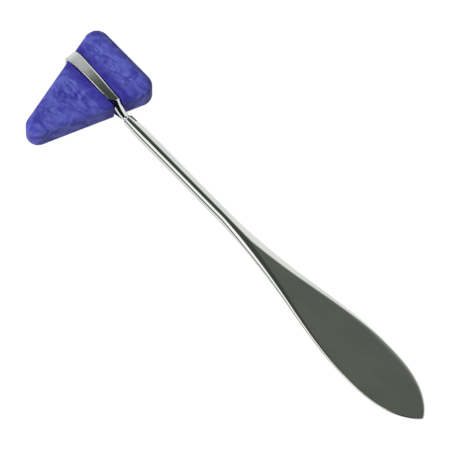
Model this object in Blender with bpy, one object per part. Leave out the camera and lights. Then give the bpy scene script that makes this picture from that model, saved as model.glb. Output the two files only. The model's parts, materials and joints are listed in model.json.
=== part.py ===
"""Reflex hammer: a triangular rubber head held in a steel strap on a one-piece handle.

The hammer is drawn along its own axis. +X runs along the shank from the strap's outer
bend to the tip of the blade, +Y from the head's point to its base, and +Z is the side
that faces up. An empty then lays the whole hammer on its back, on the strap's pad and
the blade's tip, with the table at Z = 0 and the middle of the outline over the origin.
"""

import math

import bmesh
import bpy
from mathutils import Vector

# Overall, in metres
OVERALL_LENGTH = 0.1905         # strap's outer bend to the blade's tip
FIT_GAP = 0.0003                # clearance between pieces that touch

# Rubber head
HEAD_LENGTH = 0.0468            # base edge to rounded point
HEAD_BASE = 0.0324              # width of the base edge, over its corners
HEAD_THICKNESS = 0.012
HEAD_BASE_OFFSET = 0.0157       # base edge from the shank's axis
BASE_CORNER_RADIUS = 0.0048
POINT_RADIUS = 0.0044
HEAD_EDGE_RADIUS = 0.003        # rounding between the flanks and the two faces

# Strap: half-round bar, flattened into a band where it goes round the head
STRAP_THICKNESS = 0.0012        # of the flattened band
STRAP_HALF_WIDTH = 0.0023       # of the band at its outer bend
STRAP_EDGE_RADIUS = 0.0005      # of the band's long edges
STRAP_BEND_RADIUS = 0.0040      # outside of the outer bend
STRAP_PROUD = 0.0008            # outer bend beyond the rubber's outer flank
PAD_PROUD = 0.00105             # band's highest place above the rubber's face
PAD_LENGTH = 0.004              # straight, flat stretch that the hammer lies on
CREASE_INSET = 0.0028           # band's end back from the rubber's inner flank
CREASE_DROP = 0.0021            # outside of the band, from the pad down to its end
CREASE_SLOPE = 0.17             # fall of the band per length at its end
CREASE_HALF_WIDTH = 0.0018

# Legs of the strap: half-round bar, closing into a round spigot
LEG_HALF_WIDTH = 0.00145
LEG_NARROWING = 0.0016          # length past the crease in which the band narrows to the leg
LEG_CROWN = 0.0015              # height of the half-round
LEG_TOP_SLOPE = 0.70            # fall of the leg per length just past the crease
KNEE_REACH = 0.0025             # knee of the leg beyond the rubber's inner flank
KNEE_HEIGHT = 0.00045            # inner face of the leg at its knee
KNEE_SLOPE = 0.40
NECK_LENGTH = 0.0008            # round part of the legs that shows before the shank
SPIGOT_LENGTH = 0.008           # of it inside the socket

# Handle: round shank and leaf-shaped blade, one forging
SHANK_RADIUS = 0.0025
MOUTH_RADIUS = 0.0020           # outside of the shank's end round the socket
MOUTH_TAPER = 0.010             # length in which the end grows to the shank
MOUTH_TAPER_SLOPE = 0.08        # growth of the radius per length at the mouth
MOUTH_REACH = 0.0048            # mouth of the socket beyond the rubber's inner flank
MOUTH_CHAMFER = 0.00015
SOCKET_WALL = 0.00045
SOCKET_END_CLEARANCE = 0.0005
SWELL_LENGTH = 0.040            # shank to the blade's waist
SWELL_START_SLOPE = 0.03        # growth of the half width per length
WAIST_HALF_WIDTH = 0.0064
WAIST_SLOPE = 0.165
BELLY_LENGTH = 0.034            # waist to the widest place
BLADE_HALF_WIDTH = 0.0102
LEAF_LENGTH = 0.032             # widest place to the tip
LEAF_SHOULDER_POWER = 2.85      # fullness of the leaf past its widest place
LEAF_POINT_POWER = 0.78         # bluntness of the leaf's point
LEAF_TIP_HALF_WIDTH = 0.0003
BLADE_HALF_THICKNESS = 0.0005   # at the tip
THINNING_LENGTH = 0.090         # over which the shank's thickness runs out
THINNING_POWER = 1.6
EDGE_WIDTH = 0.0038             # of the elliptic rounding, where the swell begins
EDGE_NARROWING = 0.044          # its loss per length towards the tip

# Fineness of the round stretches
CORNER_STEPS = 12
EDGE_STEPS = 4
RING_STEPS = 12
BEND_STEPS = 8
LEG_STEPS = 8
KNEE_STEPS = 4
TAPER_STEPS = 5
SWELL_STEPS = 12
BELLY_STEPS = 10
LEAF_STEPS = 12
SAME_POINT = 0.000001


def hermite(u, start, end, start_slope, end_slope, span):
    """Cubic from start to end over a span, with the given slopes at its ends."""
    a = start * (2 * u**3 - 3 * u**2 + 1) + end * (3 * u**2 - 2 * u**3)
    b = start_slope * (u**3 - 2 * u**2 + u) + end_slope * (u**3 - u**2)
    return a + b * span


def steps(count, first=0):
    """Even fractions from first/count up to and including 1."""
    return [i / count for i in range(first, count + 1)]


def loft(name, rings, axis):
    """Close a skin over rings of points, with a flat cap on the first and the last."""
    bm = bmesh.new()
    loops = [[bm.verts.new(point) for point in ring] for ring in rings]
    for ring, after in zip(loops, loops[1:]):
        for i in range(len(ring)):
            j = (i + 1) % len(ring)
            bm.faces.new((ring[i], ring[j], after[j], after[i]))
    bm.faces.new(loops[0])
    bm.faces.new(loops[-1])
    bmesh.ops.remove_doubles(bm, verts=bm.verts, dist=SAME_POINT)
    bmesh.ops.recalc_face_normals(bm, faces=bm.faces)
    mesh = bpy.data.meshes.new(name)
    bm.to_mesh(mesh)
    bm.free()
    mesh.shade_smooth()
    mesh.set_sharp_from_angle(angle=math.radians(35))
    piece = bpy.data.objects.new(name, mesh)
    bpy.context.scene.collection.objects.link(piece)
    piece.parent = axis
    return piece


def finish(piece, colour, roughness, metallic):
    """Give a piece its own material."""
    material = bpy.data.materials.new(piece.name)
    material.use_nodes = True
    shader = material.node_tree.nodes["Principled BSDF"]
    shader.inputs["Base Color"].default_value = (*colour, 1.0)
    shader.inputs["Roughness"].default_value = roughness
    shader.inputs["Metallic"].default_value = metallic
    piece.data.materials.append(material)


# --- Places shared by the pieces ----------------------------------------------------

def head_centres():
    """Centres of the right base corner and of the point, with the head centred on X = 0."""
    corner = Vector((HEAD_BASE / 2 - BASE_CORNER_RADIUS, HEAD_BASE_OFFSET - BASE_CORNER_RADIUS))
    point = Vector((0.0, HEAD_BASE_OFFSET - HEAD_LENGTH + POINT_RADIUS))
    return corner, point


def flank_angle():
    """Direction that the right flank faces, turned from +X."""
    corner, point = head_centres()
    line = corner - point
    return math.atan2(line.y, line.x) - math.acos((POINT_RADIUS - BASE_CORNER_RADIUS) / line.length)


def waist_half_width():
    """Half width of the head where the shank's axis crosses it."""
    corner, _ = head_centres()
    face = flank_angle()
    reach = corner.x * math.cos(face) + corner.y * math.sin(face) + BASE_CORNER_RADIUS
    return reach / math.cos(face)


def inner_flank_x():
    """Where the shank's axis leaves the rubber on the shank's side."""
    return STRAP_PROUD + 2 * waist_half_width()


def bend_centre():
    """Centre of the strap's upper outer bend as (x, z)."""
    return STRAP_BEND_RADIUS, HEAD_THICKNESS / 2 + PAD_PROUD - STRAP_BEND_RADIUS


def lay_angle():
    """Dip of the shank when the strap's pad and the blade's tip both touch the table."""
    centre_x, centre_z = bend_centre()
    tip = Vector((OVERALL_LENGTH - centre_x, centre_z - BLADE_HALF_THICKNESS))
    return math.atan2(tip.y, tip.x) + math.asin(STRAP_BEND_RADIUS / tip.length)


def mouth_x():
    """Mouth of the shank's socket."""
    return inner_flank_x() + MOUTH_REACH


def spigot_radius():
    return MOUTH_RADIUS - SOCKET_WALL - FIT_GAP


# --- Strap ---------------------------------------------------------------------------

def band_outside():
    """Outer face of the upper band as (x, z), from mid thickness of the head to the crease."""
    dip = lay_angle()
    centre_x, centre_z = bend_centre()
    path = [(0.0, 0.0), (0.0, centre_z / 2)]
    for u in steps(BEND_STEPS):
        turn = math.pi - u * (math.pi / 2 - dip)
        path.append((centre_x + STRAP_BEND_RADIUS * math.cos(turn),
                     centre_z + STRAP_BEND_RADIUS * math.sin(turn)))
    pad_x = path[-1][0] + PAD_LENGTH
    pad_z = path[-1][1] - PAD_LENGTH * math.tan(dip)
    crease_z = HEAD_THICKNESS / 2 + PAD_PROUD - CREASE_DROP
    span = inner_flank_x() - CREASE_INSET - pad_x
    for u in steps(BEND_STEPS):
        path.append((pad_x + u * span,
                     hermite(u, pad_z, crease_z, -math.tan(dip), -CREASE_SLOPE, span)))
    return path


def direction(path, i):
    """Unit direction of a path of (x, z) at its point i."""
    before = path[max(i - 1, 0)]
    after = path[min(i + 1, len(path) - 1)]
    return Vector((after[0] - before[0], after[1] - before[1])).normalized()


def inside_of(path, depth):
    """Move a path of (x, z) inwards, square to itself."""
    moved = []
    for i, (x, z) in enumerate(path):
        along = direction(path, i)
        moved.append((x + along.y * depth, z - along.x * depth))
    return moved


def leg_inside(start):
    """Inner face of the upper leg as (x, z), from the crease to the spigot's end."""
    knee_x = inner_flank_x() + KNEE_REACH
    neck_x = mouth_x() - NECK_LENGTH
    neck_z = FIT_GAP / 2
    path = []
    for u in steps(LEG_STEPS, first=1):
        span = knee_x - start[0]
        path.append((start[0] + u * span,
                     hermite(u, start[1], KNEE_HEIGHT, -LEG_TOP_SLOPE, -KNEE_SLOPE, span)))
    for u in steps(KNEE_STEPS, first=1):
        span = neck_x - knee_x
        path.append((knee_x + u * span, hermite(u, KNEE_HEIGHT, neck_z, -KNEE_SLOPE, 0.0, span)))
    path.append((mouth_x(), neck_z))
    path.append((mouth_x() + SPIGOT_LENGTH, neck_z))
    return path


def bar_section(half_width, crown, edge_width, edge_height):
    """Flat-backed bar as (y, height): a rectangle whose two outer edges are elliptic."""
    points = [(-half_width, 0.0), (half_width, 0.0)]
    for side in (1, -1):
        for u in steps(EDGE_STEPS):
            turn = u * math.pi / 2 if side == 1 else (1 - u) * math.pi / 2
            points.append((side * (half_width - edge_width * (1 - math.cos(turn))),
                           crown - edge_height * (1 - math.sin(turn))))
    return points


def strap_stations():
    """Upper half of the strap, bend to spigot: inner face (x, z), then the bar's section."""
    band = inside_of(band_outside(), STRAP_THICKNESS)
    crease_x = band[-1][0]
    stations = []
    for x, z in band:
        width = STRAP_HALF_WIDTH + x / crease_x * (CREASE_HALF_WIDTH - STRAP_HALF_WIDTH)
        stations.append((x, z, width, STRAP_THICKNESS, STRAP_EDGE_RADIUS, STRAP_EDGE_RADIUS))
    knee_x = inner_flank_x() + KNEE_REACH
    closing = mouth_x() - NECK_LENGTH - knee_x
    for x, z in leg_inside(band[-1]):
        wide = max(1 - (x - crease_x) / LEG_NARROWING, 0.0)
        share = min(max((x - knee_x) / closing, 0.0), 1.0)
        width = (LEG_HALF_WIDTH + wide * (CREASE_HALF_WIDTH - LEG_HALF_WIDTH)
                 + share * (spigot_radius() - LEG_HALF_WIDTH))
        crown = LEG_CROWN + share * (spigot_radius() - FIT_GAP / 2 - LEG_CROWN)
        stations.append((x, z, width, crown, width, crown))
    return stations


def strap_rings(mirrored):
    """The strap's section, square to its path at every station of one half."""
    stations = strap_stations()
    path = [station[:2] for station in stations]
    rings = []
    for i, station in enumerate(stations):
        along = direction(path, i)
        ring = []
        for y, height in bar_section(*station[2:]):
            x = station[0] - along.y * height
            z = station[1] + along.x * height
            ring.append((x, y, -z if mirrored else z))
        rings.append(ring)
    return rings


def whole_loop(half_rings):
    """Rings of the whole loop, from the lower spigot round the bend to the upper one."""
    return half_rings(mirrored=True)[:0:-1] + half_rings(mirrored=False)


def make_strap(axis):
    strap = loft("head_strap", whole_loop(strap_rings), axis)
    finish(strap, (0.56, 0.57, 0.56), 0.3, 1.0)


# --- Rubber head ---------------------------------------------------------------------

def head_outline(inset):
    """Rounded triangle, drawn in by inset all round."""
    corner, point = head_centres()
    face = flank_angle()
    arcs = (
        (corner, BASE_CORNER_RADIUS, face, math.pi / 2),
        (Vector((-corner.x, corner.y)), BASE_CORNER_RADIUS, math.pi / 2, math.pi - face),
        (point, POINT_RADIUS, math.pi - face, 2 * math.pi + face),
    )
    outline = []
    for centre, radius, first, last in arcs:
        for u in steps(CORNER_STEPS):
            turn = first + u * (last - first)
            outline.append((centre.x + (radius - inset) * math.cos(turn),
                            centre.y + (radius - inset) * math.sin(turn)))
    return outline


def groove_rings(mirrored):
    """Square channel that clears the strap and runs out past the rubber's face."""
    side = STRAP_HALF_WIDTH + FIT_GAP
    knee_x = inner_flank_x() + KNEE_REACH
    path = [station[:2] for station in strap_stations() if station[0] < knee_x]
    rings = []
    for i, (x, z) in enumerate(path):
        along = direction(path, i)
        floor = (x + along.y * FIT_GAP, z - along.x * FIT_GAP)
        if x < STRAP_BEND_RADIUS:
            top = (x - along.y * HEAD_THICKNESS, z + along.x * HEAD_THICKNESS)
        else:
            top = (x, z + HEAD_THICKNESS)
        ring = [(floor[0], -side, floor[1]), (floor[0], side, floor[1]),
                (top[0], side, top[1]), (top[0], -side, top[1])]
        rings.append([(x, y, -z if mirrored else z) for x, y, z in ring])
    return rings


def make_head(axis):
    centre_x = STRAP_PROUD + waist_half_width()
    half = HEAD_THICKNESS / 2
    lower_rings = []
    upper_rings = []
    for u in steps(EDGE_STEPS):
        turn = u * math.pi / 2
        outline = head_outline(HEAD_EDGE_RADIUS * (1 - math.sin(turn)))
        z = half - HEAD_EDGE_RADIUS * (1 - math.cos(turn))
        lower_rings.append([(centre_x + x, y, -z) for x, y in outline])
        upper_rings.append([(centre_x + x, y, z) for x, y in outline])
    head = loft("rubber_head", lower_rings + upper_rings[::-1], axis)

    groove = loft("groove_cutter", whole_loop(groove_rings), axis)
    groove.hide_render = True
    groove.display_type = "WIRE"
    cut = head.modifiers.new("strap_groove", "BOOLEAN")
    cut.operation = "DIFFERENCE"
    cut.object = groove
    cut.solver = "EXACT"
    finish(head, (0.072, 0.080, 0.381), 0.45, 0.0)


# --- Handle --------------------------------------------------------------------------

def widest_x():
    return OVERALL_LENGTH - LEAF_LENGTH


def waist_x():
    return widest_x() - BELLY_LENGTH


def swell_x():
    """Where the shank begins to widen and flatten into the blade."""
    return waist_x() - SWELL_LENGTH


def blade_half_thickness(x):
    """Half thickness of the handle, from the round shank down to the thin tip."""
    share = min((x - swell_x()) / THINNING_LENGTH, 1.0)
    return BLADE_HALF_THICKNESS + (SHANK_RADIUS - BLADE_HALF_THICKNESS) * (1 - share)**THINNING_POWER


def swell_ring(u):
    x = swell_x() + u * SWELL_LENGTH
    width = hermite(u, SHANK_RADIUS, WAIST_HALF_WIDTH, SWELL_START_SLOPE, WAIST_SLOPE, SWELL_LENGTH)
    return handle_ring(x, width, blade_half_thickness(x))


def belly_ring(u):
    x = waist_x() + u * BELLY_LENGTH
    width = hermite(u, WAIST_HALF_WIDTH, BLADE_HALF_WIDTH, WAIST_SLOPE, 0.0, BELLY_LENGTH)
    return handle_ring(x, width, blade_half_thickness(x))


def leaf_ring(u):
    share = math.sin(u * math.pi / 2)
    x = widest_x() + share * LEAF_LENGTH
    width = BLADE_HALF_WIDTH * (1 - share**LEAF_SHOULDER_POWER)**LEAF_POINT_POWER
    return handle_ring(x, max(width, LEAF_TIP_HALF_WIDTH), blade_half_thickness(x))


def handle_ring(x, half_width, half_thickness):
    """Flat-faced bar with elliptic edges; a circle where width and thickness agree."""
    half_thickness = min(half_thickness, half_width)
    edge_width = max(EDGE_WIDTH - (x - swell_x()) * EDGE_NARROWING, half_thickness)
    edge_width = min(edge_width, half_width)
    flat = half_width - edge_width
    ring = []
    for side in (1, -1):
        for u in steps(RING_STEPS):
            turn = (u - 0.5) * math.pi
            ring.append((x, side * (flat + edge_width * math.cos(turn)),
                         side * half_thickness * math.sin(turn)))
    return ring


def round_ring(x, radius):
    return handle_ring(x, radius, radius)


def make_handle(axis):
    socket_radius = spigot_radius() + FIT_GAP
    rings = [
        round_ring(mouth_x() + SPIGOT_LENGTH + SOCKET_END_CLEARANCE, socket_radius),
        round_ring(mouth_x(), socket_radius),
        round_ring(mouth_x(), MOUTH_RADIUS - MOUTH_CHAMFER),
    ]
    tapered_x = mouth_x() + MOUTH_CHAMFER
    for u in steps(TAPER_STEPS):
        radius = hermite(u, MOUTH_RADIUS, SHANK_RADIUS, MOUTH_TAPER_SLOPE, 0.0, MOUTH_TAPER)
        rings.append(round_ring(tapered_x + u * MOUTH_TAPER, radius))
    rings += [swell_ring(u) for u in steps(SWELL_STEPS)]
    rings += [belly_ring(u) for u in steps(BELLY_STEPS, first=1)]
    rings += [leaf_ring(u) for u in steps(LEAF_STEPS, first=1)]
    handle = loft("handle", rings, axis)
    finish(handle, (0.60, 0.61, 0.60), 0.12, 1.0)


# --- Assembly ------------------------------------------------------------------------

def lay_down(axis):
    """Lay the hammer on its back, with its outline centred over the origin."""
    axis.rotation_euler.y = lay_angle()
    bpy.context.view_layer.update()
    depsgraph = bpy.context.evaluated_depsgraph_get()
    points = []
    for piece in axis.children:
        if not piece.hide_render:
            shape = piece.evaluated_get(depsgraph)
            points += [shape.matrix_world @ vertex.co for vertex in shape.data.vertices]
    low = Vector([min(point[i] for point in points) for i in range(3)])
    high = Vector([max(point[i] for point in points) for i in range(3)])
    axis.location = (-(low.x + high.x) / 2, -(low.y + high.y) / 2, -low.z)


for leftover in list(bpy.data.objects):
    bpy.data.objects.remove(leftover)
hammer_axis = bpy.data.objects.new("hammer_axis", None)
bpy.context.scene.collection.objects.link(hammer_axis)
make_head(hammer_axis)
make_strap(hammer_axis)
make_handle(hammer_axis)
lay_down(hammer_axis)
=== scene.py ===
"""Reflex hammer: the looks of its handle, its rubber head and the steel strap that holds it."""

import json
import math

import bmesh
import bpy
import numpy as np
from mathutils import Matrix, Vector, noise


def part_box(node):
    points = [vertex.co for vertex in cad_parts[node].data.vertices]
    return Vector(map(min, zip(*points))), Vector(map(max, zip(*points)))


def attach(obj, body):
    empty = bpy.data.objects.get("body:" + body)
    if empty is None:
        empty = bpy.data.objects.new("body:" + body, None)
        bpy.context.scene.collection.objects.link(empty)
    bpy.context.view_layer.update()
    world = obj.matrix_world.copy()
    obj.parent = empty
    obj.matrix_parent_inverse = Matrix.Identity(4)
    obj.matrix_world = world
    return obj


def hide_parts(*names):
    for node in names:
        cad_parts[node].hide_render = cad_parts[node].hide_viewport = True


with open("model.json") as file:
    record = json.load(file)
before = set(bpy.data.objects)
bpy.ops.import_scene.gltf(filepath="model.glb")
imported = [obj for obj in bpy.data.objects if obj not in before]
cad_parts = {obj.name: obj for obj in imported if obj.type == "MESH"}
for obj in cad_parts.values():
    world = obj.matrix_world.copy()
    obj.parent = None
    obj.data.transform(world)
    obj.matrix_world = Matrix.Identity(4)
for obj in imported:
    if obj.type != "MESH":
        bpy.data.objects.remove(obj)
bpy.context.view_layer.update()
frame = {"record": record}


# --- The hammer's own axis -----------------------------------------------------------------
# The whole hammer lies on its back, on the strap's bend and the blade's tip, so its shank
# dips a little. Sizes below run in millimetres along the shank from the strap's outer bend,
# across it towards the broad end of the head, and up from its middle.

mounts = {mount["name"]: mount for mount in frame["record"]["mounts"]}
blade_front, blade_back = mounts["blade_front"], mounts["blade_back"]
face_up = Vector(blade_front["axis"]).normalized()
down_shank = Vector((face_up.z, 0.0, -face_up.x))
blade_middle = (Vector(blade_front["pos_m"]) + Vector(blade_back["pos_m"])) / 2

mm = 0.001
overall_length = 190.5
side_on = Vector((0.0, 1.0, 0.0))
tip_from_blade_mount = (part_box("handle")[1].x - blade_middle.x) / down_shank.x
bend_point = blade_middle + down_shank * (tip_from_blade_mount - overall_length * mm)


def place(x, y, z):
    """A point of the hammer, in the frame."""
    return bend_point + (down_shank * x + Vector((0.0, y, 0.0)) + face_up * z) * mm


# --- Handle --------------------------------------------------------------------------------
# One forging of steel rod, plated and polished. Its round end is drilled for the strap's
# spigot. The other end is pressed out flat into a leaf-shaped blade with round edges.

shank_radius = 2.5
socket_radius = 1.55
spigot_length = 8.0
mouth_x = 31.61
mouth_radius = 2.0
mouth_chamfer = 0.25
mouth_taper = 10.0
socket_end_gap = 0.5
leaf_length = 32.0
belly_length = 34.0
swell_length = 40.0
waist_half_width = 6.4
blade_half_width = 10.2
tip_half_thickness = 0.5
tip_half_width = 0.3
thinning_length = 90.0
thinning_power = 1.6
swell_slope = 0.03
waist_slope = 0.165
leaf_fullness = 2.85
leaf_point = 0.78
blade_edge_width = 3.8
blade_edge_narrowing = 0.044
mouth_taper_slope = 0.08
widest_x = overall_length - leaf_length
waist_x = widest_x - belly_length
swell_x = waist_x - swell_length


def hermite(u, start, end, start_slope, end_slope, span):
    """Cubic from start to end over a span, with the given slopes at its ends."""
    level = start * (2 * u**3 - 3 * u**2 + 1) + end * (3 * u**2 - 2 * u**3)
    turn = start_slope * (u**3 - 2 * u**2 + u) + end_slope * (u**3 - u**2)
    return level + turn * span


def handle_half_thickness(x):
    """Half the thickness: round on the shank, thinning along the blade to its tip."""
    share = min(max((x - swell_x) / thinning_length, 0.0), 1.0)
    return tip_half_thickness + (shank_radius - tip_half_thickness) * (1 - share)**thinning_power


def handle_half_width(x):
    """Half the width: the shank, the swell to the waist, the belly and the leaf's end."""
    if x <= swell_x:
        return shank_radius
    if x <= waist_x:
        u = (x - swell_x) / swell_length
        return hermite(u, shank_radius, waist_half_width, swell_slope, waist_slope, swell_length)
    if x <= widest_x:
        u = (x - waist_x) / belly_length
        return hermite(u, waist_half_width, blade_half_width, waist_slope, 0.0, belly_length)
    share = min((x - widest_x) / leaf_length, 1.0)
    return max(blade_half_width * (1 - share**leaf_fullness)**leaf_point, tip_half_width)


def handle_edge_width(x):
    """Width of the rounding at each edge: all round on the shank, running out on the blade."""
    width = blade_edge_width - blade_edge_narrowing * (x - swell_x)
    return min(max(width, handle_half_thickness(x)), handle_half_width(x))


def rail(name, stations, labels):
    """A line of points that carries each station's place, directions and sizes."""
    mesh = bpy.data.meshes.new(name)
    count = len(stations)
    links = [(i, i + 1) for i in range(count - 1)]
    mesh.from_pydata([(i * mm, 0, 0) for i in range(count)], links, [])
    for label, values in zip(labels, zip(*stations)):
        is_vector = hasattr(values[0], "__len__")
        kind, field = ("FLOAT_VECTOR", "vector") if is_vector else ("FLOAT", "value")
        attribute = mesh.attributes.new(label, kind, "POINT")
        numbers = np.array([tuple(value) if is_vector else value for value in values], float)
        attribute.data.foreach_set(field, numbers.ravel())
    line = bpy.data.objects.new(name, mesh)
    bpy.context.scene.collection.objects.link(line)
    return line


def bar_ring(corner_points, flat_points):
    """Outline of a bar with four rounded edges, as shares of its sizes."""
    ring = []
    for quarter in range(4):
        right = 1.0 if quarter in (0, 3) else -1.0
        upper = 1.0 if quarter in (0, 1) else 0.0
        for i in range(corner_points + 1):
            turn = (quarter + i / corner_points) * math.pi / 2
            ring.append((right, math.cos(turn), upper, math.sin(turn)))
        for i in range(1, flat_points):
            share = i / flat_points
            if quarter in (0, 2):
                ring.append((right * (1 - 2 * share), 0.0, upper, 2 * upper - 1))
            else:
                ring.append((right, right, upper + (1 - 2 * upper) * share, 0.0))
    return ring


station_labels = ("at", "across", "out", "half_width", "bottom", "top", "edge_width", "edge_height",
                  "back_width", "back_edge")
outline_labels = ("flat_y", "round_y", "upper", "round_z")


def section_line(name, ring):
    """The outline as a closed line of points that carries its shares."""
    mesh = bpy.data.meshes.new(name)
    count = len(ring)
    turns = [2 * math.pi * i / count for i in range(count)]
    mesh.from_pydata([(math.cos(t) * mm, math.sin(t) * mm, 0) for t in turns],
                     [(i, (i + 1) % count) for i in range(count)], [])
    for label, values in zip(outline_labels, zip(*ring)):
        mesh.attributes.new(label, "FLOAT", "POINT").data.foreach_set("value", values)
    line = bpy.data.objects.new(name, mesh)
    bpy.context.scene.collection.objects.link(line)
    line.hide_render = True
    return line


def add_node(tree, kind, inputs, **settings):
    """A node with its settings, and its inputs linked or set by name or place."""
    made = tree.nodes.new(kind)
    for key, value in settings.items():
        setattr(made, key, value)
    for key, value in inputs.items():
        if isinstance(value, bpy.types.NodeSocket):
            tree.links.new(value, made.inputs[key])
        else:
            made.inputs[key].default_value = value
    return made.outputs


class Wiring:
    """Nodes of one geometry node tree, wired as they are made."""

    def __init__(self, name, inputs):
        self.tree = bpy.data.node_groups.new(name, "GeometryNodeTree")
        face = self.tree.interface
        face.new_socket("Geometry", in_out="INPUT", socket_type="NodeSocketGeometry")
        face.new_socket("Geometry", in_out="OUTPUT", socket_type="NodeSocketGeometry")
        self.sockets = {label: face.new_socket(label, in_out="INPUT", socket_type=kind).identifier
                        for label, kind in inputs}
        self.given = self.tree.nodes.new("NodeGroupInput").outputs

    def node(self, kind, inputs, **settings):
        return add_node(self.tree, kind, inputs, **settings)

    def named(self, label, kind="FLOAT"):
        """A value that the rail or the outline carries."""
        made = self.node("GeometryNodeInputNamedAttribute", {"Name": label}, data_type=kind)
        return made["Attribute"]

    def maths(self, operation, a, b):
        return self.node("ShaderNodeMath", {0: a, 1: b}, operation=operation)["Value"]

    def mixed(self, share, low, high):
        """Low where share is 0, high where it is 1."""
        step = self.maths("MULTIPLY", share, self.maths("SUBTRACT", high, low))
        return self.maths("ADD", low, step)

    def scaled(self, vector, size):
        made = self.node("ShaderNodeVectorMath", {0: vector, "Scale": size}, operation="SCALE")
        return made["Vector"]

    def added(self, a, b):
        return self.node("ShaderNodeVectorMath", {0: a, 1: b}, operation="ADD")["Vector"]

    def output(self, geometry, material):
        """End the tree with real geometry that has its material."""
        real = self.node("GeometryNodeRealizeInstances", {"Geometry": geometry})["Geometry"]
        done = self.node("GeometryNodeSetMaterial", {"Geometry": real, "Material": material})
        self.node("NodeGroupOutput", {0: done["Geometry"]})


def swept_bar_tree():
    """A bar swept along a rail, whose width, faces and rounded edges change on the way."""
    w = Wiring("swept_bar", [("Outline", "NodeSocketObject"), ("Size Unit", "NodeSocketFloat"),
                             ("Finish", "NodeSocketMaterial")])
    outline = w.node("GeometryNodeObjectInfo", {"Object": w.given["Outline"]})["Geometry"]
    outline = w.node("GeometryNodeMeshToCurve", {"Mesh": outline})["Curve"]
    path = w.node("GeometryNodeMeshToCurve", {"Mesh": w.given["Geometry"]})["Curve"]
    skin = w.node("GeometryNodeCurveToMesh", {"Curve": path, "Profile Curve": outline,
                                              "Fill Caps": True})["Mesh"]
    upper, round_z = w.named("upper"), w.named("round_z")
    edge_width, edge_height = w.named("edge_width"), w.named("edge_height")
    back = w.named("back_edge")
    reach = w.mixed(upper, w.named("back_width"), edge_width)
    depth = w.mixed(w.maths("GREATER_THAN", round_z, 0.0), back, edge_height)
    flat = w.maths("MULTIPLY", w.named("flat_y"), w.maths("SUBTRACT", w.named("half_width"), reach))
    across = w.maths("ADD", flat, w.maths("MULTIPLY", w.named("round_y"), reach))
    level = w.mixed(upper, w.maths("ADD", w.named("bottom"), back),
                    w.maths("SUBTRACT", w.named("top"), edge_height))
    height = w.maths("ADD", level, w.maths("MULTIPLY", round_z, depth))
    sideways = w.scaled(w.named("across", "FLOAT_VECTOR"), across)
    upwards = w.scaled(w.named("out", "FLOAT_VECTOR"), height)
    away = w.scaled(w.added(sideways, upwards), w.given["Size Unit"])
    point = w.added(w.named("at", "FLOAT_VECTOR"), away)
    skin = w.node("GeometryNodeSetPosition", {"Geometry": skin, "Position": point})["Geometry"]
    w.output(skin, w.given["Finish"])
    return w


def link_piece(name, mesh):
    """Close the mesh, turn its faces out, and put it in the scene."""
    bm = bmesh.new()
    bm.from_mesh(mesh)
    bmesh.ops.remove_doubles(bm, verts=bm.verts, dist=0.001 * mm)
    bmesh.ops.recalc_face_normals(bm, faces=bm.faces)
    bm.to_mesh(mesh)
    bm.free()
    for label in station_labels + outline_labels:
        carried = mesh.attributes.get(label)
        if carried is not None:
            mesh.attributes.remove(carried)
    mesh.name = name
    mesh.shade_smooth()
    mesh.set_sharp_from_angle(angle=math.radians(40))
    piece = bpy.data.objects.new(name, mesh)
    bpy.context.scene.collection.objects.link(piece)
    return piece


swept_bar = swept_bar_tree()
bar_outline = section_line("bar_outline", bar_ring(corner_points=12, flat_points=12))


def sweep(name, stations, material):
    """Run the swept bar along its stations and keep the result as a plain mesh."""
    line = rail(name + "_rail", stations, station_labels)
    modifier = line.modifiers.new("sweep", "NODES")
    modifier.node_group = swept_bar.tree
    modifier[swept_bar.sockets["Outline"]] = bar_outline
    modifier[swept_bar.sockets["Size Unit"]] = mm
    modifier[swept_bar.sockets["Finish"]] = material
    bpy.context.view_layer.update()
    shape = line.evaluated_get(bpy.context.evaluated_depsgraph_get())
    mesh = bpy.data.meshes.new_from_object(shape)
    bpy.data.objects.remove(line)
    return link_piece(name, mesh)


class Finish:
    """A material whose nodes read the piece's own coordinates."""

    def __init__(self, name, metallic):
        self.material = bpy.data.materials.new(name)
        self.material.use_nodes = True
        self.tree = self.material.node_tree
        self.shader = self.tree.nodes["Principled BSDF"]
        self.shader.inputs["Metallic"].default_value = metallic
        self.spot = self.node("ShaderNodeTexCoord", {})["Object"]

    def node(self, kind, inputs, **settings):
        return add_node(self.tree, kind, inputs, **settings)

    def stretched(self, scale):
        """The piece's coordinates in millimetres along the hammer, times a scale per axis."""
        local = self.node("ShaderNodeMapping", {"Vector": self.spot, "Rotation": (0.0, dip_turn, 0.0),
                                                "Scale": (1000.0, 1000.0, 1000.0)},
                          vector_type="POINT")["Vector"]
        made = self.node("ShaderNodeVectorMath", {0: local, 1: scale}, operation="MULTIPLY")
        return made["Vector"]

    def cloud(self, scale, detail=3.0, distortion=0.0):
        """Noise of about 0 to 1 whose lumps are 1/scale millimetres along each axis."""
        return self.node("ShaderNodeTexNoise", {"Vector": self.stretched(scale), "Scale": 1.0,
                                                "Detail": detail, "Distortion": distortion})["Fac"]

    def ranged(self, value, start, end, low, high):
        """The value carried smoothly from start..end to low..high."""
        return self.node("ShaderNodeMapRange", {"Value": value, "From Min": start, "From Max": end,
                                                "To Min": low, "To Max": high},
                         interpolation_type="SMOOTHSTEP")["Result"]

    def maths(self, operation, a, b):
        return self.node("ShaderNodeMath", {0: a, 1: b}, operation=operation)["Value"]

    def blend(self, share, low, high):
        """Colour that goes from low to high with the share."""
        ends = [c if isinstance(c, bpy.types.NodeSocket) else (*c, 1.0) for c in (low, high)]
        return self.node("ShaderNodeMix", {0: share, 6: ends[0], 7: ends[1]}, data_type="RGBA")[2]

    def wear(self, label, value):
        """Send a value to one of the shader's inputs."""
        self.tree.links.new(value, self.shader.inputs[label])


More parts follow.
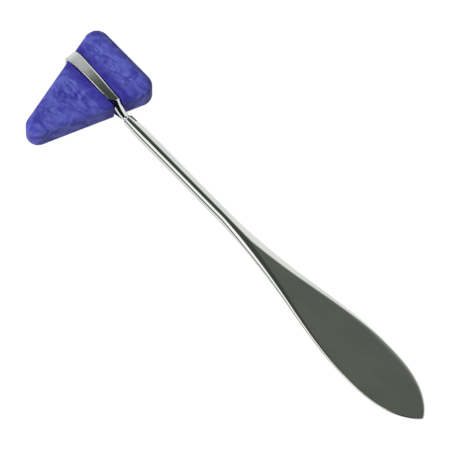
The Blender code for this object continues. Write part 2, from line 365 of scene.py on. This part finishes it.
dip_turn = math.atan2(down_shank.z, down_shank.x)
polish = Finish("polished_plate", metallic=1.0)
haze = polish.cloud((0.05, 0.12, 0.12), detail=4.0)
polishing = polish.cloud((0.7, 14.0, 14.0), detail=2.0)
cool_plate = (0.60, 0.625, 0.605)
warm_plate = (0.68, 0.675, 0.64)
hazed = polish.ranged(haze, 0.35, 0.65, 0.0, 1.0)
polish.wear("Base Color", polish.blend(hazed, cool_plate, warm_plate))
polishing_marks = polish.ranged(polishing, 0.3, 0.7, 0.0, 0.05)
polish.wear("Roughness", polish.maths("ADD", polishing_marks, 0.04))


def bar_station(x, half_width, half_thickness, edge_width):
    """Station on the hammer's axis, of a bar with round edges."""
    return (place(x, 0, 0), side_on, face_up, half_width, -half_thickness, half_thickness,
            edge_width, half_thickness, edge_width, half_thickness)


stations = [bar_station(x, radius, radius, radius) for x, radius in (
    (mouth_x + spigot_length + socket_end_gap, socket_radius),
    (mouth_x, socket_radius),
    (mouth_x, mouth_radius - mouth_chamfer),
    (mouth_x + 0.3 * mouth_chamfer, mouth_radius - 0.3 * mouth_chamfer),
    (mouth_x + mouth_chamfer, mouth_radius))]
for i in range(1, 31):
    radius = hermite(i / 30, mouth_radius, shank_radius, mouth_taper_slope, 0.0, mouth_taper)
    stations.append(bar_station(mouth_x + mouth_chamfer + i / 30 * mouth_taper, radius, radius, radius))
places = [swell_x + (widest_x - swell_x) * i / 160 for i in range(161)]
places += [widest_x + leaf_length * math.sin(i / 60 * math.pi / 2) for i in range(1, 61)]
for x in places:
    half_width = handle_half_width(x)
    half_thickness = min(handle_half_thickness(x), half_width)
    stations.append(bar_station(x, half_width, half_thickness, handle_edge_width(x)))

handle = sweep("handle_forging", stations, polish.material)
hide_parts("handle")
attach(handle, "root")


# --- Strap ---------------------------------------------------------------------------------
# One length of half-round steel bar, flattened into a band where it goes round the head, and
# satin finished. Its two legs come together below the rubber into the spigot that is brazed
# into the shank.

head_thickness = 12.0
head_length = 46.8
head_base = 32.4
head_base_offset = 15.7
base_corner_radius = 4.8
point_radius = 4.4
strap_proud = 0.8
strap_thickness = 1.2
strap_half_width = 2.3
bend_radius = 4.0
pad_proud = 1.05
pad_length = 4.0
crease_inset = 2.8
crease_drop = 2.1
crease_slope = 0.17
crease_half_width = 1.8
leg_half_width = 1.45
leg_narrowing = 1.6
leg_crown = 1.5
leg_slope = 0.70
knee_reach = 2.5
knee_height = 0.45
knee_slope = 0.40
neck_length = 0.8
fit_gap = 0.3
strap_edge = 0.62
back_edge = 0.12
crease_lean = 0.8
crease_middle = 24.0
crease_spread = 3.5
spigot_radius = 1.25

corner = Vector((head_base / 2 - base_corner_radius, head_base_offset - base_corner_radius))
point = Vector((0.0, head_base_offset - head_length + point_radius))
flank = corner - point
flank_face = math.atan2(flank.y, flank.x) - math.acos((point_radius - base_corner_radius) / flank.length)
flank_reach = corner.x * math.cos(flank_face) + corner.y * math.sin(flank_face) + base_corner_radius
head_half_width = flank_reach / math.cos(flank_face)
head_middle_x = strap_proud + head_half_width
inner_flank_x = head_middle_x + head_half_width
knee_x = inner_flank_x + knee_reach
dip_slope = -down_shank.z / down_shank.x


def strap_outside(bend_steps, band_steps):
    """Outer face of the upper band as (x, z), from mid thickness of the head to the crease."""
    centre_z = head_thickness / 2 + pad_proud - bend_radius
    path = [(0.0, centre_z * i / 6) for i in range(6)]
    for i in range(bend_steps + 1):
        turn = math.pi - i / bend_steps * (math.pi / 2 + dip_turn)
        path.append((bend_radius * (1 + math.cos(turn)), centre_z + bend_radius * math.sin(turn)))
    pad_x = path[-1][0] + pad_length
    pad_z = path[-1][1] - pad_length * dip_slope
    path += [(path[-1][0] + pad_length * share, path[-1][1] - pad_length * share * dip_slope)
             for share in (0.25, 0.5, 0.75)]
    crease_z = head_thickness / 2 + pad_proud - crease_drop
    span = inner_flank_x - crease_inset - pad_x
    for i in range(band_steps + 1):
        u = i / band_steps
        path.append((pad_x + u * span, hermite(u, pad_z, crease_z, -dip_slope, -crease_slope, span)))
    return path


def square_to(path, i):
    """Direction that faces out of a path of (x, z) at its point i."""
    before, after = path[max(i - 1, 0)], path[min(i + 1, len(path) - 1)]
    along = Vector((after[0] - before[0], after[1] - before[1])).normalized()
    return Vector((-along.y, along.x))


def upper_strap(bend_steps=16, band_steps=50, leg_steps=40):
    """Stations of the upper half: (x, z, half width, thickness, edge width, edge height)."""
    outside = strap_outside(bend_steps, band_steps)
    inside = []
    for i, (x, z) in enumerate(outside):
        out = square_to(outside, i)
        inside.append((x - out.x * strap_thickness, z - out.y * strap_thickness))
    crease_x, crease_z = inside[-1]
    stations = []
    for x, z in inside:
        width = strap_half_width + x / crease_x * (crease_half_width - strap_half_width)
        stations.append((x, z, width, strap_thickness, strap_edge, strap_edge))
    neck_x = mouth_x - neck_length
    span = knee_x - crease_x
    for i in range(leg_steps + 1):
        u = 0.03 + 0.97 * i / leg_steps
        z = hermite(u, crease_z, knee_height, -leg_slope, -knee_slope, span)
        wide = max(1 - u * span / leg_narrowing, 0.0)
        width = leg_half_width + wide * (crease_half_width - leg_half_width)
        stations.append((crease_x + u * span, z, width, leg_crown, width, leg_crown - back_edge))
    for i in range(1, 13):
        u = i / 12
        z = hermite(u, knee_height, fit_gap / 2, -knee_slope, 0.0, neck_x - knee_x)
        width = leg_half_width + u * (spigot_radius - leg_half_width)
        crown = leg_crown + u * (spigot_radius - fit_gap / 2 - leg_crown)
        stations.append((knee_x + u * (neck_x - knee_x), z, width, crown, width, crown - back_edge))
    crown = spigot_radius - fit_gap / 2
    for x in (mouth_x, mouth_x + spigot_length):
        stations.append((x, fit_gap / 2, spigot_radius, crown, spigot_radius, crown - back_edge))
    return stations


def strap_loop(stations, section):
    """Stations of the whole loop, from the lower leg round the bend to the upper one."""
    path = [station[:2] for station in stations]
    loop = []
    for side in (-1, 1):
        half = []
        for i, (x, z, *sizes) in enumerate(stations):
            out = square_to(path, i)
            facing = down_shank * out.x + face_up * (side * out.y)
            lean = crease_lean * math.exp(-((x - crease_middle) / crease_spread)**2)
            half.append((place(x, 0, side * z), side_on + down_shank * lean, facing, *section(*sizes)))
        loop += half[:0:-1] if side == -1 else half
    return loop


def strap_section(half_width, thickness, edge_width, edge_height):
    """The strap's own section: round outer edges and a small rounding at the back."""
    return half_width, 0.0, thickness, edge_width, edge_height, back_edge, back_edge


satin = Finish("satin_steel", metallic=1.0)
brushing = satin.cloud((0.25, 9.0, 9.0), detail=3.0)
along_strap = satin.node("ShaderNodeSeparateXYZ", {"Vector": satin.stretched((1.0, 1.0, 1.0))})["X"]
strap_start = math.cos(dip_turn) * bend_point.x / mm
coarse = satin.ranged(satin.maths("SUBTRACT", along_strap, strap_start), 3.0, 17.0, 0.60, 0.09)
brushed_dark = (0.60, 0.62, 0.59)
brushed_light = (0.80, 0.81, 0.79)
brushed = satin.ranged(brushing, 0.3, 0.7, 0.0, 1.0)
satin.wear("Base Color", satin.blend(brushed, brushed_dark, brushed_light))
brush_marks = satin.ranged(brushing, 0.3, 0.7, -0.04, 0.04)
satin.wear("Roughness", satin.maths("ADD", coarse, brush_marks))
strap = sweep("strap_band", strap_loop(upper_strap(), strap_section), satin.material)
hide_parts("head_strap")
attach(strap, "root")


# --- Rubber head ---------------------------------------------------------------------------
# A solid triangular moulding of marbled blue-violet rubber. It is pressed into the strap,
# which sits in a groove round its waist, and its skin carries the flow marks of the mould.

edge_height = 3.0
edge_inset = 4.0
rim_points = 360
face_rings = 80
flow_mark_depth = 0.30
skin_middle = 0.24
strap_pressed = 3.5
groove_edge = 0.1
groove_floor_edge = 0.2
groove_stop = 0.1
flow_lines = [((4.0, -7.4), (16.5, -7.8), 0.5, 0.45), ((4.4, -8.9), (17.5, -9.6), 0.5, 0.45),
              ((6.0, -11.6), (13.0, -10.9), -0.5, 0.40), ((2.0, -13.5), (11.0, -15.5), 0.8, 0.50),
              ((9.0, -21.0), (19.0, -17.5), -0.9, 0.55), ((12.0, -24.5), (15.5, -13.0), 1.2, 0.50),
              ((3.5, 6.5), (20.0, 11.5), 0.9, 0.45), ((2.0, 10.0), (14.0, 14.0), -0.6, 0.50),
              ((13.0, 5.5), (25.0, 9.5), 0.7, 0.45)]


def rounded_triangle(count):
    """Points round the head's outline, each with the direction that it faces."""
    arcs = [(corner, base_corner_radius, flank_face, math.pi / 2),
            (Vector((-corner.x, corner.y)), base_corner_radius, math.pi / 2, math.pi - flank_face),
            (point, point_radius, math.pi - flank_face, 2 * math.pi + flank_face)]
    stretches = []
    for i, (centre, radius, first, last) in enumerate(arcs):
        after, after_radius, after_first, _ = arcs[(i + 1) % 3]
        stretches.append((radius * (last - first), centre, radius, first, last))
        facing = Vector((math.cos(last), math.sin(last)))
        start, end = centre + facing * radius, after + facing * after_radius
        stretches.append(((end - start).length, start, end, last, last))
    total = sum(stretch[0] for stretch in stretches)
    outline = []
    for i in range(count):
        walked = total * i / count
        for length, a, b, first, last in stretches:
            if walked < length:
                break
            walked -= length
        share = walked / length
        turn = first + share * (last - first)
        facing = Vector((math.cos(turn), math.sin(turn)))
        at = a + facing * b if isinstance(b, float) else a.lerp(b, share)
        outline.append((at, facing))
    return outline


def streak(x, y, start, end, bow, width):
    """How deep a flow line from start to end, bowed sideways, runs at a point; 1 at its middle."""
    run = Vector(end) - Vector(start)
    along = ((x - start[0]) * run.x + (y - start[1]) * run.y) / run.length_squared
    away = ((x - start[0]) * -run.y + (y - start[1]) * run.x) / run.length
    away -= bow * (1 - (2 * along - 1)**2)
    ends = max(0.0, min(1.0, 6 * along, 6 * (1 - along)))
    return ends * math.exp(-(away / width)**2)


def skin_height(x, y):
    """Height of the moulded skin's flow marks, in millimetres."""
    warp_x = x + 1.6 * noise.noise(Vector((x * 0.22, y * 0.22, 4.0)))
    warp_y = y + 1.6 * noise.noise(Vector((x * 0.22, y * 0.22, 9.0)))
    worms = 0.5 - abs(noise.noise(Vector((warp_x * 0.30, warp_y * 0.42, 0.0))))
    grain = noise.noise(Vector((warp_x * 0.8, warp_y * 1.1, 2.0)))
    lumps = noise.noise(Vector((x * 0.13, y * 0.13, 6.0)))
    height = 0.48 * worms + 0.26 * grain + 0.20 * lumps
    for start, end, bow, width in flow_lines:
        height -= flow_mark_depth * streak(x, y, start, end, bow, width)
    return height


def head_mesh():
    """The moulding before its groove: rings over the back, up the wall and over the front."""
    outline = rounded_triangle(rim_points)
    half = head_thickness / 2
    levels = [(i / face_rings, edge_inset, -half) for i in range(1, face_rings + 1)]
    for i in range(1, 13):
        turn = i / 12 * math.pi / 2
        inset = edge_inset * (1 - math.sin(turn))
        levels.append((1.0, inset, -half + edge_height * (1 - math.cos(turn))))
    flat = 2 * (half - edge_height)
    levels += [(1.0, 0.0, edge_height - half + flat * i / 12) for i in range(1, 7)]
    levels += [(scale, inset, -z) for scale, inset, z in levels[-7::-1]]
    bm = bmesh.new()
    rings = []
    for scale, inset, z in levels:
        ring = []
        for at, facing in outline:
            flat_place = (at - facing * inset) * scale
            ring.append(bm.verts.new((head_middle_x + flat_place.x, flat_place.y, z)))
        rings.append(ring)
    for ring, after in zip(rings, rings[1:]):
        for i in range(rim_points):
            j = (i + 1) % rim_points
            bm.faces.new((ring[i], ring[j], after[j], after[i]))
    for ring, z in ((rings[0], -half), (rings[-1], half)):
        centre = bm.verts.new((head_middle_x, 0.0, z))
        for i in range(rim_points):
            bm.faces.new((ring[i], ring[(i + 1) % rim_points], centre))
    bmesh.ops.recalc_face_normals(bm, faces=bm.faces)
    bm.normal_update()
    for ring, (scale, _, _) in zip(rings, levels):
        from_rim = 0.15 + 0.85 * min(1.0, (1 - scale) * 6)
        for vertex in ring:
            x, y, z = vertex.co
            beside_strap = min(1.0, max(0.15, (abs(y) - strap_pressed) / strap_pressed))
            height = skin_height(x, y + 40 * (z < 0)) - skin_middle
            vertex.co += vertex.normal * (height * from_rim * beside_strap)
    for vertex in bm.verts:
        vertex.co = place(*vertex.co)
    mesh = bpy.data.meshes.new("head_moulding")
    bm.to_mesh(mesh)
    bm.free()
    return mesh


def groove_section(half_width, thickness, edge_width, edge_height):
    """The groove's section: the strap's width and a gap, up through the face of the head."""
    return (half_width + fit_gap, -fit_gap, head_thickness, groove_edge, groove_edge,
            groove_floor_edge, groove_floor_edge)


rubber = Finish("marbled_rubber", metallic=0.0)
marble = rubber.cloud((0.16, 0.22, 0.22), detail=5.0, distortion=1.6)
flecks = rubber.cloud((0.55, 0.75, 0.75), detail=3.0, distortion=0.8)
deep_violet = (0.023, 0.022, 0.155)
pale_violet = (0.056, 0.063, 0.240)
fleck_violet = (0.034, 0.036, 0.190)
painted_shade_violet = (0.014, 0.011, 0.125)
marbled = rubber.blend(rubber.ranged(marble, 0.36, 0.64, 0.0, 1.0), deep_violet, pale_violet)
marbled = rubber.blend(rubber.ranged(flecks, 0.42, 0.68, 0.0, 0.7), marbled, fleck_violet)
beside = rubber.node("ShaderNodeSeparateXYZ", {"Vector": rubber.stretched((1.0, 1.0, 1.0))})["Y"]
beside = rubber.maths("ABSOLUTE", rubber.maths("SUBTRACT", beside, bend_point.y / mm), 0.0)
# Painted shade: the rubber's colour is made darker within a few millimetres either side of the strap,
# where its groove shades it.
painted_groove_shade = rubber.ranged(beside, 3.2, 6.8, 0.7, 0.0)
rubber.wear("Base Color", rubber.blend(painted_groove_shade, marbled, painted_shade_violet))
rubber.wear("Roughness", rubber.ranged(flecks, 0.3, 0.7, 0.38, 0.58))
rubber.shader.inputs["Specular IOR Level"].default_value = 0.06
head = link_piece("head_moulding", head_mesh())
head.data.materials.append(rubber.material)
in_the_rubber = [station for station in upper_strap() if station[0] < knee_x - groove_stop]
groove = sweep("groove", strap_loop(in_the_rubber, groove_section), rubber.material)
cut = head.modifiers.new("groove", "BOOLEAN")
cut.operation = "DIFFERENCE"
cut.object = groove
cut.solver = "EXACT"
bpy.context.view_layer.update()
grooved = bpy.data.meshes.new_from_object(head.evaluated_get(bpy.context.evaluated_depsgraph_get()))
bpy.data.objects.remove(head)
bpy.data.objects.remove(groove)
head = link_piece("head_moulding", grooved)
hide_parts("rubber_head")
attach(head, "root")

bpy.data.objects.remove(bar_outline)


# --- Table, light and camera ---------------------------------------------------------------
# A plain white table under a white tent. The tent has a grey opening above, a black flag and
# a gap low down, which the polished steel mirrors, and a lamp shines down through its roof.

floor_half = 3.0
floor_mesh = bpy.data.meshes.new("table")
floor_mesh.from_pydata([(-floor_half, -floor_half, 0), (floor_half, -floor_half, 0),
                        (floor_half, floor_half, 0), (-floor_half, floor_half, 0)], [], [(0, 1, 2, 3)])
floor = bpy.data.objects.new("table", floor_mesh)
bpy.context.scene.collection.objects.link(floor)
paper = bpy.data.materials.new("white_table")
paper.use_nodes = True
paper_shader = paper.node_tree.nodes["Principled BSDF"]
paper_shader.inputs["Base Color"].default_value = (0.03, 0.03, 0.03, 1.0)
paper_shader.inputs["Roughness"].default_value = 0.9
paper_shader.inputs["Emission Color"].default_value = (1.0, 1.0, 1.0, 1.0)
paper_shader.inputs["Emission Strength"].default_value = 1.0
floor_mesh.materials.append(paper)

camera_turn = math.radians(48.85)
camera_tilt = math.radians(27.75)
camera_lens = 1500.0
frame_width = 159.5
look_at = place(86.35, -1.85, 0.0)
towards_camera = (down_shank * (math.sin(camera_turn) * math.sin(camera_tilt))
                  - side_on * (math.cos(camera_turn) * math.sin(camera_tilt))
                  + face_up * math.cos(camera_tilt))
view_right = down_shank * math.cos(camera_turn) + side_on * math.sin(camera_turn)
view_up = towards_camera.cross(view_right)

camera_data = bpy.data.cameras.new("camera")
camera_data.lens = camera_lens
camera_data.clip_start = 0.1
camera_data.clip_end = 40.0
camera = bpy.data.objects.new("camera", camera_data)
bpy.context.scene.collection.objects.link(camera)
camera.rotation_euler = Matrix((view_right, view_up, towards_camera)).transposed().to_euler()
distance = frame_width * mm * camera_lens / camera_data.sensor_width
camera.location = look_at + towards_camera * distance
bpy.context.scene.camera = camera

world = bpy.data.worlds.new("tent")
bpy.context.scene.world = world
world.use_nodes = True
tent = world.node_tree


def tent_node(kind, inputs, **settings):
    """One node of the tent."""
    return add_node(tent, kind, inputs, **settings)


def tent_along(axis):
    """How far the direction looked in points along an axis, from -1 to 1."""
    looked = tent_node("ShaderNodeTexCoord", {})["Generated"]
    return tent_node("ShaderNodeVectorMath", {0: looked, 1: axis}, operation="DOT_PRODUCT")["Value"]


def tent_step(value, start, end):
    """0 at start, 1 at end, smooth between."""
    return tent_node("ShaderNodeMapRange", {"Value": value, "From Min": start, "From Max": end},
                     interpolation_type="SMOOTHSTEP")["Result"]


def tent_product(*factors):
    """All the factors multiplied, so an area ends where any of them does."""
    product = factors[0]
    for factor in factors[1:]:
        product = tent_node("ShaderNodeMath", {0: product, 1: factor}, operation="MULTIPLY")["Value"]
    return product


def tent_paint(under, colour, share):
    """The tent's light with one more area laid over it."""
    return tent_node("ShaderNodeMix", {0: share, 6: under, 7: (*colour, 1.0)}, data_type="RGBA")[2]


forward, sideways, upward = tent_along(down_shank), tent_along((0, 1, 0)), tent_along(face_up)
opening = tent_product(tent_step(forward, -0.70, -0.48), tent_step(forward, 0.25, 0.05),
                       tent_step(sideways, -0.53, -0.46), tent_step(sideways, 0.47, 0.315),
                       tent_step(upward, 0.1, 0.3))
black_flag = tent_product(tent_step(forward, 0.0, 0.12), tent_step(sideways, -0.02, -0.12),
                          tent_step(upward, -0.1, 0.1))
softbox = tent_product(tent_step(sideways, -0.46, -0.53), tent_step(upward, 0.28, 0.38))
low_gap = tent_product(tent_step(sideways, -0.3, -0.5), tent_step(upward, 0.34, 0.26))
light = tent_node("ShaderNodeRGB", {})
light[0].default_value = (1.05, 1.06, 1.07, 1.0)
walls = tent_paint(light[0], (1.4, 1.41, 1.42), softbox)
walls = tent_paint(walls, (0.025, 0.028, 0.028), low_gap)
walls = tent_paint(walls, (0.008, 0.010, 0.010), black_flag)
walls = tent_paint(walls, (0.135, 0.147, 0.127), opening)
off_middle = tent_node("ShaderNodeMath", {0: sideways, 1: 0.307}, operation="SUBTRACT")["Value"]
off_middle = tent_node("ShaderNodeMath", {0: off_middle}, operation="ABSOLUTE")["Value"]
rim = tent_node("ShaderNodeMath", {0: tent_step(off_middle, 0.07, 0.15),
                                   1: tent_step(forward, -0.16, -0.06)},
                operation="MAXIMUM")["Value"]
walls = tent_paint(walls, (0.070, 0.078, 0.070), tent_product(rim, opening))
tent.links.new(walls, tent.nodes["Background"].inputs["Color"])

lamp_data = bpy.data.lights.new("ceiling_lamp", "SUN")
lamp_data.energy = 6.5
lamp_data.angle = math.radians(12)
lamp = bpy.data.objects.new("ceiling_lamp", lamp_data)
bpy.context.scene.collection.objects.link(lamp)
towards_lamp = face_up - view_right * 0.65 - view_up * 0.55
lamp.rotation_euler = towards_lamp.to_track_quat("Z", "Y").to_euler()
lamp.visible_glossy = False

bpy.context.scene.view_settings.view_transform = "Standard"
